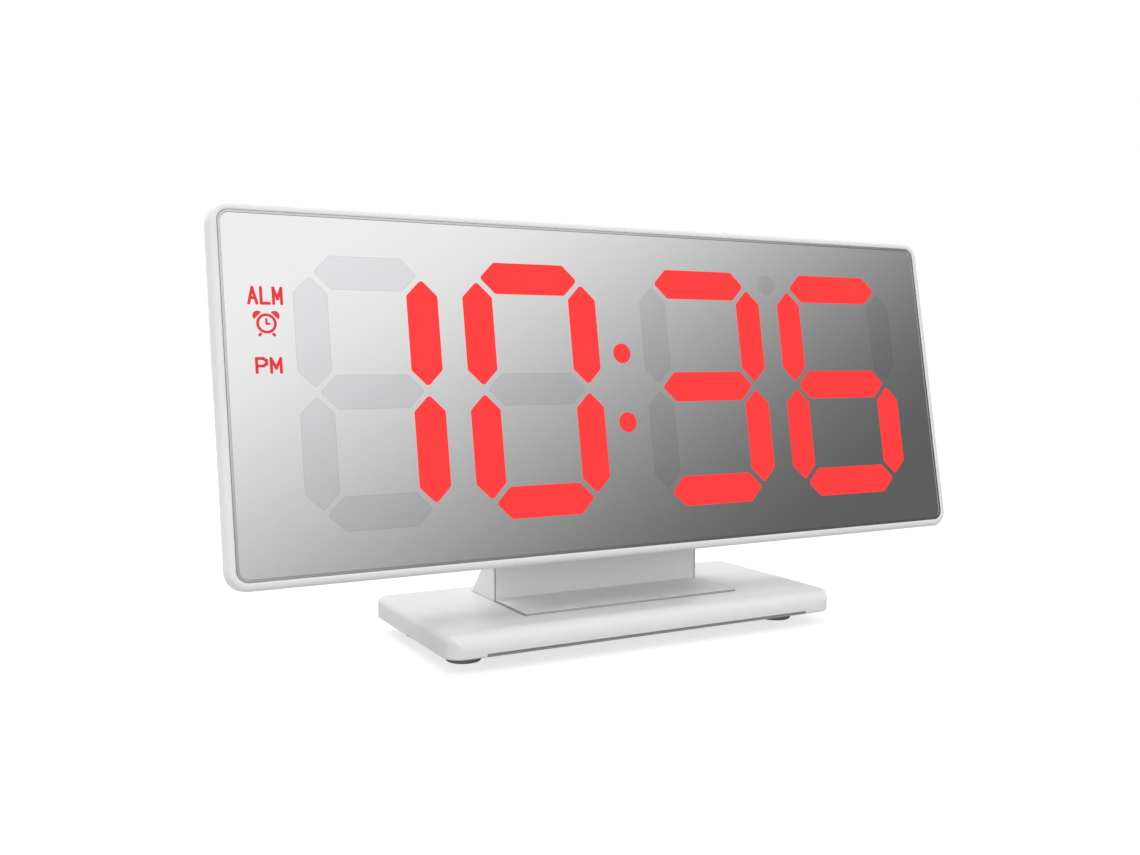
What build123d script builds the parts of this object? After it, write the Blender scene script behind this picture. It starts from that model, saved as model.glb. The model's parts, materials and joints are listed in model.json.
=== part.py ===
import os
from math import cos, radians, sin
from build123d import *

os.makedirs("parts", exist_ok=True)

# Sizes in millimetres. Origin on the table under the middle of the clock, X right, Y back, Z up.
# Mirror face, lean and places come from the photo, the whole width from the kind of clock.
mirror_w = 191.6
mirror_h = 75.6
mirror_t = 2.2
mirror_corner = 1.9
lean = 10.2

# Front frame around the mirror
frame_rim = 1.8
frame_gap = 0.6
frame_proud = 0.3
frame_back = 7.0
frame_front_round = 1.3
frame_inner_round = 0.35
frame_back_round = 0.6
frame_bulge = 4.0
frame_draft = 10.0
frame_w = mirror_w + 2 * (frame_gap + frame_rim)
frame_h = mirror_h + 2 * (frame_gap + frame_rim)
frame_corner = mirror_corner + frame_gap + frame_rim
ledge = 2.4
well_w = mirror_w - 2 * ledge
well_h = mirror_h - 2 * ledge

# Digits on the mirror face, each a little wider than the one before it, as the photo shows them
digit_left = 14.15
digit_right = 11.0
digit_above = 8.4
digit_below = 8.2
digit_gap = 6.05
colon_room = 12.6
digit_grow = 1.06
seg_t = 7.3
seg_tip = 0.95
seg_round = 0.8
window_clear = 0.02
colon_rise = 8.4
colon_r = 2.4
mark_rise = 0.6
mark_r = 2.5
well_wall = 0.9
digit_room = mirror_w - digit_left - digit_right - 2 * digit_gap - colon_room
first_digit_w = digit_room / sum(digit_grow**i for i in range(4))
digit_w = [first_digit_w * digit_grow**i for i in range(4)]
digit_h = mirror_h - digit_above - digit_below
digit_half_h = (digit_h - seg_t) / 2
digit_v = (digit_below - digit_above) / 2

# Stack behind the mirror
stack_clear = 0.3
board_t = 1.2
box_front = -mirror_t
board_back = -frame_back
board_front = board_back + board_t
led_w = 3.0
led_d = 1.4
led_h = 0.8

# Rear housing
flange_inset = 1.6
flange_t = 2.0
house_inset = 5.55
house_wall = 2.0
house_back = 22.0
house_corner = 7.0
house_round = 2.5
house_w = frame_w - 2 * house_inset
house_h = frame_h - 2 * house_inset
hollow_w = house_w - 2 * house_wall
hollow_h = house_h - 2 * house_wall
wall_in = -(house_back - house_wall)
screw_in_x = 15.8
screw_in_v = 0.8
screw_x = mirror_w / 2 - screw_in_x
screw_v = mirror_h / 2 - screw_in_v
screw_r = 0.9
screw_clear = 0.1
screw_deep = 3.8
screw_head_r = 1.5
screw_head_h = 1.1

# Push buttons on the back, seen from the front
button_in_x = 33.8
button_from_middle = 14.0
button_in_v = 20.8
button_x = -mirror_w / 2 + button_in_x
button_step = (mirror_w / 2 - button_in_x - button_from_middle) / 3
button_v = mirror_h / 2 - button_in_v
button_r = 3.6
button_out = 1.0
button_clear = 0.2
button_skirt_r = 4.8
button_skirt_t = 1.2
button_post_r = 2.0
press = 0.8
switch_side = 6.0
switch_h = 3.5
stem_r = 1.7
stem_clear = 0.1
stem_in = 1.2
stem_out = 1.5
stem_room = 1.4

# Snooze bar on top of the housing
snooze_w = 44.0
snooze_d = 6.6
snooze_out = 1.2
snooze_z = -14.0
snooze_skirt = 1.2
snooze_post_w = 4.0
snooze_post_d = 3.0
snooze_switch_w = 7.0
snooze_switch_d = 5.0
snooze_switch_in = 15.8
snooze_switch_v = mirror_h / 2 - snooze_switch_in
snooze_axis_z = board_back - snooze_switch_d / 2

# Memory cell and its turn cover
cell_in_x = 43.8
cell_v = 4.0
cell_x = mirror_w / 2 - cell_in_x
cell_r = 10.0
cell_t = 3.2
cover_r = 13.0
cover_t = 1.6
cover_clear = 0.15
cover_seat = 0.1
cover_neck_r = 11.2
cover_ledge_t = 1.2
cover_lug_r = 12.6
cover_lug_t = 1.0
cover_lug_gap = 0.15
cover_lug_wide = 6.6
cover_notch_clear = 0.3
cover_turn = 60.0
coin_slot_w = 2.2
coin_slot_l = 16.0
coin_slot_deep = 0.8
cup_r = cover_lug_r + 0.3
cup_wall = 1.4
cup_floor_z = -12.6
cup_floor_t = 1.2
contact_t = 0.3

# Power socket, buzzer and the chips on the board
socket_in_x = 25.8
socket_in_v = 19.8
socket_x = -mirror_w / 2 + socket_in_x
socket_v = -mirror_h / 2 + socket_in_v
socket_w = 9.0
socket_d = 3.4
socket_wall = 0.35
socket_deep = 6.5
socket_hole_w = 10.4
socket_hole_d = 4.8
tongue_w = 6.6
tongue_t = 0.7
buzzer_x = 12.0
buzzer_v = 8.0
buzzer_r = 6.0
buzzer_h = 7.0
buzzer_hole_r = 1.2
grille_r = 0.8
grille_ring = 3.4
chip_x = -22.0
chip_v = -6.0
chip_side = 10.0
chip_h = 1.6
crystal_x = -38.0
crystal_r = 1.1
crystal_l = 6.0
cap_from_socket = 22.0
cap_x = socket_x + cap_from_socket
cap_v = -12.0
cap_r = 4.0
cap_h = 9.0

# Stand
foot_h = 3.5
foot_r = 4.1
foot_in_x = 8.75
foot_in_front = 13.1
foot_in_back = 10.0
foot_round = 0.4
base_w = 106.5
base_d = 49.4
foot_x = base_w / 2 - foot_in_x
foot_front = -base_d / 2 + foot_in_front
foot_back = base_d / 2 - foot_in_back
base_t = 5.5
base_front_corner = 4.2
base_back_corner = 2.6
base_front_round = 3.8
base_edge_round = 1.8
base_under_round = 0.5
base_wall = 2.2
base_front_wall = 3.4
base_skin = 1.8
base_top = foot_h + base_t
plate_t = 1.5
plate_clear = 0.15
lip_in_x = 9.1
lip_back = 0.4
lip_t = 0.7
plate_top = foot_h + plate_t
trim_t = 1.0
trim_proud = 0.4
trim_clear = 0.3
neck_w = 59.7
neck_d = 13.5
neck_set = 7.2
neck_back = base_d / 2 - neck_set
neck_front = neck_back - neck_d
neck_cheek = 0.3
trim_side = 0.25
hinge_r = 3.6
hinge_behind = 4.35
hinge_in = 3.32
hinge_up = 17.1
hinge_z = base_top + hinge_up
hinge_y = neck_front + hinge_r
slope_up = 7.0
slope_top = base_top + slope_up
trim_floor_d = 18.3
pocket_front = neck_front - trim_floor_d
pocket_back = neck_back + trim_clear
pocket_floor = base_top + trim_proud - trim_t
pad_w = neck_w + 8.0
pad_front = pocket_front - 3.0
pad_back = pocket_back + 2.5
pin_r = 1.5
pin_fit = 0.02
pin_run = 0.05
pin_half = neck_w / 2 - 0.3
knuckle_half = 11.5
washer_gap = 0.1
washer_t = 0.6
slot_half = knuckle_half + washer_gap + washer_t
slot_room = 6.2
trim_top = hinge_z - slot_room - 0.8
neck_screw_in_x = 9.65
neck_screw_in_y = 6.8
neck_screw_x = neck_w / 2 - neck_screw_in_x
neck_screw_y = neck_back - neck_screw_in_y
neck_screw_r = 1.4
neck_screw_up = 6.0
neck_head_r = 2.6
neck_head_h = 1.5
base_screw_r = 1.2
base_head_r = 2.2
base_head_h = 0.7

# The head leans back, so it is drawn on its own plane: x right, y up the face, z out of the face
face_up = (0, sin(radians(lean)), cos(radians(lean)))
face_out = (0, -cos(radians(lean)), sin(radians(lean)))
# The hinge line lies low behind the housing and sets where the leaning face stands
hinge_v = hinge_in - house_h / 2
hinge_deep = house_back + hinge_behind
mirror_y = hinge_y - hinge_v * sin(radians(lean)) - hinge_deep * cos(radians(lean))
mirror_z = hinge_z - hinge_v * cos(radians(lean)) + hinge_deep * sin(radians(lean))
HEAD = Plane(origin=(0, mirror_y, mirror_z), x_dir=(1, 0, 0), z_dir=face_out)
OUT = Axis(HEAD.origin, face_out)


def face_plane(x, v, z):
    return Plane(origin=HEAD.from_local_coords((x, v, z)), x_dir=(1, 0, 0), z_dir=face_out)


def up_plane(x, v, z):
    return Plane(origin=HEAD.from_local_coords((x, v, z)), x_dir=(1, 0, 0), z_dir=face_up)


# Digit places and which segments are lit: the clock shows 10:36
digit_x = []
digit_edge = digit_left - mirror_w / 2
for width, room in zip(digit_w, [digit_gap, colon_room, digit_gap, digit_right]):
    digit_x.append(digit_edge + width / 2)
    digit_edge = digit_edge + width + room
lit_names = ["bc", "abcdef", "abcdg", "acdefg"]
flat_at = {"a": digit_half_h, "g": 0.0, "d": -digit_half_h}
side_at = {"b": (1, 0.5), "c": (1, -0.5), "e": (-1, -0.5), "f": (-1, 0.5)}
lit_flat = []
dark_flat = []
lit_side = []
dark_side = []
for middle, width, names in zip(digit_x, digit_w, lit_names):
    half_w = (width - seg_t) / 2
    for name, rise in flat_at.items():
        bar = (half_w, (middle, digit_v + rise))
        (lit_flat if name in names else dark_flat).append(bar)
    for name, (way, half) in side_at.items():
        place = (middle + way * half_w, digit_v + half * digit_half_h)
        (lit_side if name in names else dark_side).append(place)
colon_x = digit_x[1] + (digit_w[1] + colon_room) / 2
colon_at = [(colon_x, digit_v + colon_rise), (colon_x, digit_v - colon_rise)]
mark_x = digit_x[2] + (digit_w[2] + digit_gap) / 2
mark_at = [(mark_x, digit_v + digit_half_h + mark_rise)]


def hexagon(half_long, half_wide, upright):
    waist = half_long - half_wide
    points = [
        (-half_long, 0),
        (-waist, half_wide),
        (waist, half_wide),
        (half_long, 0),
        (waist, -half_wide),
        (-waist, -half_wide),
    ]
    if upright:
        return [(-b, a) for a, b in points]
    return points


def flat_points(half_w, less):
    return hexagon(half_w - seg_tip - less * 1.4, seg_t / 2 - less, False)


def side_points(less):
    return hexagon(digit_half_h / 2 - seg_tip - less * 1.4, seg_t / 2 - less, True)


# Front frame: a rounded ring with a seat for the mirror
with BuildPart() as front_frame:
    with BuildSketch(HEAD.offset(-frame_bulge)):
        RectangleRounded(frame_w, frame_h, frame_corner)
    extrude(amount=frame_bulge + frame_proud)
    with BuildSketch(HEAD.offset(-frame_bulge)):
        RectangleRounded(frame_w, frame_h, frame_corner)
    extrude(amount=frame_bulge - frame_back, taper=frame_draft)
    fillet(front_frame.faces().sort_by(OUT)[-1].edges(), frame_front_round)
    fillet(front_frame.faces().sort_by(OUT)[0].edges(), frame_back_round)
    with BuildSketch(HEAD.offset(-mirror_t)):
        RectangleRounded(mirror_w + 2 * frame_gap, mirror_h + 2 * frame_gap, mirror_corner + frame_gap)
    extrude(amount=mirror_t + frame_proud, mode=Mode.SUBTRACT)
    fillet(front_frame.faces().sort_by(OUT)[-1].inner_wires()[0].edges(), frame_inner_round)
    with BuildSketch(HEAD.offset(-frame_back)):
        RectangleRounded(well_w, well_h, mirror_corner)
    extrude(amount=frame_back, mode=Mode.SUBTRACT)
    with BuildSketch(HEAD.offset(-frame_back)):
        with GridLocations(2 * screw_x, 2 * screw_v, 2, 2):
            Circle(screw_r + screw_clear)
    extrude(amount=screw_deep, mode=Mode.SUBTRACT)
front_frame.part.label = "front_frame"
export_step(front_frame.part, "parts/front_frame.step")

# Mirror panel with its windows for the segments
with BuildPart() as mirror_panel:
    with BuildSketch(HEAD.offset(-mirror_t)):
        RectangleRounded(mirror_w, mirror_h, mirror_corner)
    extrude(amount=mirror_t)
    with BuildSketch(HEAD.offset(-mirror_t)) as windows:
        for half_w, place in lit_flat + dark_flat:
            with Locations(place):
                Polygon(*flat_points(half_w, -window_clear))
        with Locations(*(lit_side + dark_side)):
            Polygon(*side_points(-window_clear))
        fillet(windows.vertices(), seg_round)
        with Locations(*colon_at):
            Circle(colon_r + window_clear)
        with Locations(*mark_at):
            Circle(mark_r + window_clear)
    extrude(amount=mirror_t, mode=Mode.SUBTRACT)
mirror_panel.part.label = "mirror_panel"
export_step(mirror_panel.part, "parts/mirror_panel.step")

# Lit segments, unlit segments and colon, flush in the windows
with BuildPart() as lit_segments:
    with BuildSketch(HEAD.offset(-mirror_t)) as lit_shapes:
        for half_w, place in lit_flat:
            with Locations(place):
                Polygon(*flat_points(half_w, 0))
        with Locations(*lit_side):
            Polygon(*side_points(0))
        fillet(lit_shapes.vertices(), seg_round)
    extrude(amount=mirror_t)
lit_segments.part.label = "lit_segments"
export_step(lit_segments.part, "parts/lit_segments.step")

with BuildPart() as dark_segments:
    with BuildSketch(HEAD.offset(-mirror_t)) as dark_shapes:
        for half_w, place in dark_flat:
            with Locations(place):
                Polygon(*flat_points(half_w, 0))
        with Locations(*dark_side):
            Polygon(*side_points(0))
        fillet(dark_shapes.vertices(), seg_round)
        with Locations(*mark_at):
            Circle(mark_r)
    extrude(amount=mirror_t)
dark_segments.part.label = "dark_segments"
export_step(dark_segments.part, "parts/dark_segments.step")

with BuildPart() as colon_dots:
    with BuildSketch(HEAD.offset(-mirror_t)):
        with Locations(*colon_at):
            Circle(colon_r)
    extrude(amount=mirror_t)
colon_dots.part.label = "colon_dots"
export_step(colon_dots.part, "parts/colon_dots.step")

# Light box with one well behind each window
with BuildPart() as light_box:
    with BuildSketch(HEAD.offset(board_front)):
        RectangleRounded(well_w - 2 * stack_clear, well_h - 2 * stack_clear, mirror_corner)
    extrude(amount=box_front - board_front)
    with BuildSketch(HEAD.offset(board_front)):
        for half_w, place in lit_flat + dark_flat:
            with Locations(place):
                Polygon(*flat_points(half_w, well_wall))
        with Locations(*(lit_side + dark_side)):
            Polygon(*side_points(well_wall))
        with Locations(*colon_at):
            Circle(colon_r - well_wall / 2)
        with Locations(*mark_at):
            Circle(mark_r - well_wall / 2)
    extrude(amount=box_front - board_front, mode=Mode.SUBTRACT)
light_box.part.label = "light_box"
export_step(light_box.part, "parts/light_box.step")

# Circuit board and the light diodes standing in the wells
with BuildPart() as circuit_board:
    with BuildSketch(HEAD.offset(board_back)):
        RectangleRounded(well_w - 2 * stack_clear, well_h - 2 * stack_clear, mirror_corner)
    extrude(amount=board_t)
circuit_board.part.label = "circuit_board"
export_step(circuit_board.part, "parts/circuit_board.step")

with BuildPart() as light_diodes:
    with BuildSketch(HEAD.offset(board_front)):
        with Locations(*[place for half_w, place in lit_flat + dark_flat]):
            Rectangle(led_w, led_d)
        with Locations(*(lit_side + dark_side)):
            Rectangle(led_d, led_w)
        with Locations(*(colon_at + mark_at)):
            Rectangle(led_d, led_d)
    extrude(amount=led_h)
light_diodes.part.label = "light_diodes"
export_step(light_diodes.part, "parts/light_diodes.step")

# Rear housing: flange on the frame, hollow box, cup for the cell, hinge knuckle
button_at = [(button_x + i * button_step, button_v) for i in range(4)]
grille_plane = face_plane(buzzer_x, buzzer_v, -house_back)
cell_plane = face_plane(cell_x, cell_v, 0)
cover_back = -house_back + cover_t
ledge_back = cover_back + cover_seat
ledge_front = ledge_back + cover_ledge_t
HINGE = Plane(origin=(0, hinge_y, hinge_z), x_dir=face_out, z_dir=(1, 0, 0))
with BuildPart() as rear_housing:
    with BuildSketch(HEAD.offset(-house_back)):
        RectangleRounded(house_w, house_h, house_corner)
    extrude(amount=house_back - frame_back)
    fillet(rear_housing.faces().sort_by(OUT)[0].edges(), house_round)
    with BuildSketch(HEAD.offset(-frame_back - flange_t)):
        RectangleRounded(frame_w - 2 * flange_inset, frame_h - 2 * flange_inset, frame_corner - flange_inset)
    extrude(amount=flange_t)
    with BuildSketch(HEAD.offset(wall_in)):
        RectangleRounded(hollow_w, hollow_h, house_corner - house_wall)
    extrude(amount=-wall_in - frame_back, mode=Mode.SUBTRACT)
    with BuildSketch(cell_plane.offset(wall_in - house_wall / 2)):
        Circle(cup_r + cup_wall)
    extrude(amount=cup_floor_z + cup_floor_t - wall_in + house_wall / 2)
    with BuildSketch(cell_plane.offset(ledge_front)):
        Circle(cup_r)
    extrude(amount=cup_floor_z - ledge_front, mode=Mode.SUBTRACT)
    with BuildSketch(cell_plane.offset(-house_back)):
        Circle(cover_r + cover_clear)
    extrude(amount=cover_t + cover_seat, mode=Mode.SUBTRACT)
    with BuildSketch(cell_plane.offset(ledge_back)):
        notch_wide = cover_lug_wide + 2 * cover_notch_clear
        Rectangle(3 * cover_r, notch_wide, rotation=-cover_turn)
        Circle(cover_lug_r + cover_clear, mode=Mode.INTERSECT)
        Circle(cover_neck_r + cover_clear)
    extrude(amount=cover_ledge_t, mode=Mode.SUBTRACT)
    with BuildSketch(HINGE):
        Circle(hinge_r)
        with Locations(((hinge_deep - house_back + house_wall / 2) / 2, -0.2)):
            Rectangle(hinge_deep - house_back + house_wall / 2, 2 * hinge_r - 0.9)
    extrude(amount=knuckle_half, both=True)
    with BuildSketch(HINGE):
        Circle(pin_r + pin_run)
    extrude(amount=knuckle_half + 1, both=True, mode=Mode.SUBTRACT)
    with BuildSketch(HEAD.offset(-house_back)):
        with Locations(*button_at):
            Circle(button_r + button_clear)
        with Locations((socket_x, socket_v)):
            RectangleRounded(socket_hole_w, socket_hole_d, socket_hole_d / 2 - 0.05)
    extrude(amount=house_wall, mode=Mode.SUBTRACT)
    with BuildSketch(grille_plane):
        Circle(grille_r)
        with PolarLocations(grille_ring, 6):
            Circle(grille_r)
    extrude(amount=house_wall, mode=Mode.SUBTRACT)
    with BuildSketch(up_plane(0, hollow_h / 2, snooze_z)):
        RectangleRounded(snooze_w + 2 * button_clear, snooze_d + 2 * button_clear, snooze_d / 2 - 0.6)
    extrude(amount=house_wall, mode=Mode.SUBTRACT)
    with BuildSketch(HEAD.offset(-frame_back - flange_t)):
        with GridLocations(2 * screw_x, 2 * screw_v, 2, 2):
            Circle(screw_r + screw_clear)
    extrude(amount=flange_t, mode=Mode.SUBTRACT)
    with BuildSketch(cell_plane.offset(cup_floor_z)):
        with Locations((-cell_r + 2.5, 0), (cell_r + 1.2, 0)):
            Rectangle(1.0, 3.4)
    extrude(amount=cup_floor_t, mode=Mode.SUBTRACT)
rear_housing.part.label = "rear_housing"
export_step(rear_housing.part, "parts/rear_housing.step")

# Screws that hold the housing to the frame
with BuildPart() as housing_screws:
    with BuildSketch(HEAD.offset(-frame_back - flange_t)):
        with GridLocations(2 * screw_x, 2 * screw_v, 2, 2):
            Circle(screw_head_r)
    extrude(amount=-screw_head_h)
    with BuildSketch(HEAD.offset(-frame_back - flange_t)):
        with GridLocations(2 * screw_x, 2 * screw_v, 2, 2):
            Circle(screw_r)
    extrude(amount=flange_t + screw_deep - 0.4)
    with BuildSketch(HEAD.offset(-frame_back - flange_t - screw_head_h)):
        with GridLocations(2 * screw_x, 2 * screw_v, 2, 2):
            Rectangle(screw_head_r * 1.3, screw_head_r * 0.28)
            Rectangle(screw_head_r * 0.28, screw_head_r * 1.3)
    extrude(amount=screw_head_h * 0.6, mode=Mode.SUBTRACT)
housing_screws.part.label = "housing_screws"
export_step(housing_screws.part, "parts/housing_screws.step")

# Four key switches on the back of the board
with BuildPart() as key_switches:
    with BuildSketch(HEAD.offset(board_back)):
        with Locations(*button_at):
            Rectangle(switch_side, switch_side)
    extrude(amount=-switch_h)
    with BuildSketch(HEAD.offset(board_back - switch_h)):
        with Locations(*button_at):
            Circle(stem_r + stem_clear)
    extrude(amount=stem_in + stem_room, mode=Mode.SUBTRACT)
key_switches.part.label = "key_switches"
export_step(key_switches.part, "parts/key_switches.step")

# Each button is a cap with a skirt and post, over the stem of its switch
stem_top = board_back - switch_h - stem_out
button_names = ["mode", "alarm", "plus", "minus"]
for name, (bx, bv) in zip(button_names, button_at):
    with BuildPart() as button:
        with BuildSketch(face_plane(bx, bv, -house_back - button_out)):
            Circle(button_r)
        extrude(amount=button_out + house_wall)
        fillet(button.faces().sort_by(OUT)[0].edges(), 0.4)
        with BuildSketch(face_plane(bx, bv, wall_in)):
            Circle(button_skirt_r)
        extrude(amount=button_skirt_t)
        with BuildSketch(face_plane(bx, bv, wall_in + button_skirt_t)):
            Circle(button_post_r)
        extrude(amount=stem_top - wall_in - button_skirt_t)
    button.part.label = "button_" + name
    export_step(button.part, "parts/button_" + name + ".step")
    with BuildPart() as stem:
        with BuildSketch(face_plane(bx, bv, stem_top)):
            Circle(stem_r)
        extrude(amount=stem_out + stem_in)
    stem.part.label = "stem_" + name
    export_step(stem.part, "parts/stem_" + name + ".step")

# Snooze bar on top, its switch lying on the board and the switch stem
snooze_stem_top = snooze_switch_v + snooze_switch_d / 2 + stem_out
with BuildPart() as snooze_switch:
    with BuildSketch(up_plane(0, snooze_switch_v - snooze_switch_d / 2, snooze_axis_z)):
        Rectangle(snooze_switch_w, snooze_switch_d)
    extrude(amount=snooze_switch_d)
    with BuildSketch(up_plane(0, snooze_switch_v + snooze_switch_d / 2, snooze_axis_z)):
        Circle(stem_r + stem_clear)
    extrude(amount=-stem_in - stem_room, mode=Mode.SUBTRACT)
snooze_switch.part.label = "snooze_switch"
export_step(snooze_switch.part, "parts/snooze_switch.step")

with BuildPart() as snooze_bar:
    with BuildSketch(up_plane(0, hollow_h / 2, snooze_z)):
        RectangleRounded(snooze_w, snooze_d, snooze_d / 2 - 0.8)
    extrude(amount=house_wall + snooze_out)
    fillet(snooze_bar.faces().sort_by(Axis(HEAD.origin, face_up))[-1].edges(), 0.5)
    with BuildSketch(up_plane(0, hollow_h / 2 - snooze_skirt, snooze_z)):
        Rectangle(snooze_w + 3.0, snooze_d + 2.4)
    extrude(amount=snooze_skirt)
    with BuildSketch(up_plane(0, snooze_stem_top, snooze_axis_z)):
        Rectangle(snooze_post_w, snooze_post_d)
    extrude(amount=hollow_h / 2 - snooze_skirt / 2 - snooze_stem_top)
snooze_bar.part.label = "snooze_bar"
export_step(snooze_bar.part, "parts/snooze_bar.step")

with BuildPart() as stem_snooze:
    with BuildSketch(up_plane(0, snooze_stem_top, snooze_axis_z)):
        Circle(stem_r)
    extrude(amount=-stem_out - stem_in)
stem_snooze.part.label = "stem_snooze"
export_step(stem_snooze.part, "parts/stem_snooze.step")

# Turn cover of the cell: disc, neck and two lugs under the ledge, coin slot outside
lug_back = ledge_front + cover_lug_gap
with BuildPart() as cell_cover:
    with BuildSketch(cell_plane.offset(-house_back)):
        Circle(cover_r)
    extrude(amount=cover_t)
    with BuildSketch(cell_plane.offset(cover_back)):
        Circle(cover_neck_r)
    extrude(amount=cover_seat + cover_ledge_t + cover_lug_gap + cover_lug_t)
    with BuildSketch(cell_plane.offset(lug_back)):
        Rectangle(3 * cover_r, cover_lug_wide)
        Circle(cover_lug_r, mode=Mode.INTERSECT)
    extrude(amount=cover_lug_t)
    with BuildSketch(cell_plane.offset(-house_back)):
        Rectangle(coin_slot_l, coin_slot_w)
    extrude(amount=coin_slot_deep, mode=Mode.SUBTRACT)
cell_cover.part.label = "cell_cover"
export_step(cell_cover.part, "parts/cell_cover.step")

# Cell and its two contacts, with legs down to the board
cell_front = cup_floor_z - contact_t
with BuildPart() as memory_cell:
    with BuildSketch(cell_plane.offset(cell_front)):
        Circle(cell_r)
    extrude(amount=-cell_t)
    fillet(memory_cell.faces().sort_by(OUT)[0].edges(), 0.5)
memory_cell.part.label = "memory_cell"
export_step(memory_cell.part, "parts/memory_cell.step")

with BuildPart() as contact_under:
    with BuildSketch(cell_plane.offset(cell_front)):
        with Locations((-cell_r / 2 + 1.4, 0)):
            Rectangle(cell_r + 0.2, 3.0)
    extrude(amount=contact_t)
    with BuildSketch(cell_plane.offset(cup_floor_z)):
        with Locations((-cell_r + 2.5, 0)):
            Rectangle(0.5, 3.0)
    extrude(amount=board_back - cup_floor_z)
contact_under.part.label = "contact_under"
export_step(contact_under.part, "parts/contact_under.step")

with BuildPart() as contact_side:
    with BuildSketch(cell_plane.offset(cell_front - cell_t)):
        with Locations((cell_r + 1.2, 0)):
            Rectangle(0.5, 3.0)
    extrude(amount=board_back - cell_front + cell_t)
    with BuildSketch(cell_plane.offset(cell_front - cell_t + 0.4)):
        with Locations((cell_r + 0.55, 0)):
            Rectangle(0.9, 3.0)
    extrude(amount=0.6)
contact_side.part.label = "contact_side"
export_step(contact_side.part, "parts/contact_side.step")

# Power socket standing on the board, with its tongue
with BuildPart() as power_socket:
    with BuildSketch(face_plane(socket_x, socket_v, wall_in)):
        RectangleRounded(socket_w, socket_d, socket_d / 2 - 0.05)
    extrude(amount=board_back - wall_in)
    with BuildSketch(face_plane(socket_x, socket_v, wall_in)):
        inner_d = socket_d - 2 * socket_wall
        RectangleRounded(socket_w - 2 * socket_wall, inner_d, inner_d / 2 - 0.05)
    extrude(amount=socket_deep, mode=Mode.SUBTRACT)
power_socket.part.label = "power_socket"
export_step(power_socket.part, "parts/power_socket.step")

with BuildPart() as socket_tongue:
    with BuildSketch(face_plane(socket_x, socket_v, wall_in + 1.0)):
        Rectangle(tongue_w, tongue_t)
    extrude(amount=socket_deep - 1.0)
socket_tongue.part.label = "socket_tongue"
export_step(socket_tongue.part, "parts/socket_tongue.step")

# Buzzer, controller chip, crystal and capacitor on the board
with BuildPart() as buzzer:
    with BuildSketch(face_plane(buzzer_x, buzzer_v, board_back)):
        Circle(buzzer_r)
    extrude(amount=-buzzer_h)
    with BuildSketch(face_plane(buzzer_x, buzzer_v, board_back - buzzer_h)):
        Circle(buzzer_hole_r)
    extrude(amount=1.0, mode=Mode.SUBTRACT)
buzzer.part.label = "buzzer"
export_step(buzzer.part, "parts/buzzer.step")

with BuildPart() as controller_chip:
    with BuildSketch(face_plane(chip_x, chip_v, board_back)):
        Rectangle(chip_side, chip_side)
    extrude(amount=-chip_h)
controller_chip.part.label = "controller_chip"
export_step(controller_chip.part, "parts/controller_chip.step")

with BuildPart() as crystal:
    with BuildSketch(up_plane(crystal_x, chip_v - crystal_l / 2, board_back - crystal_r)):
        Circle(crystal_r)
    extrude(amount=crystal_l)
crystal.part.label = "crystal"
export_step(crystal.part, "parts/crystal.step")

with BuildPart() as capacitor:
    with BuildSketch(face_plane(cap_x, cap_v, board_back)):
        Circle(cap_r)
    extrude(amount=-cap_h)
capacitor.part.label = "capacitor"
export_step(capacitor.part, "parts/capacitor.step")

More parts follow.
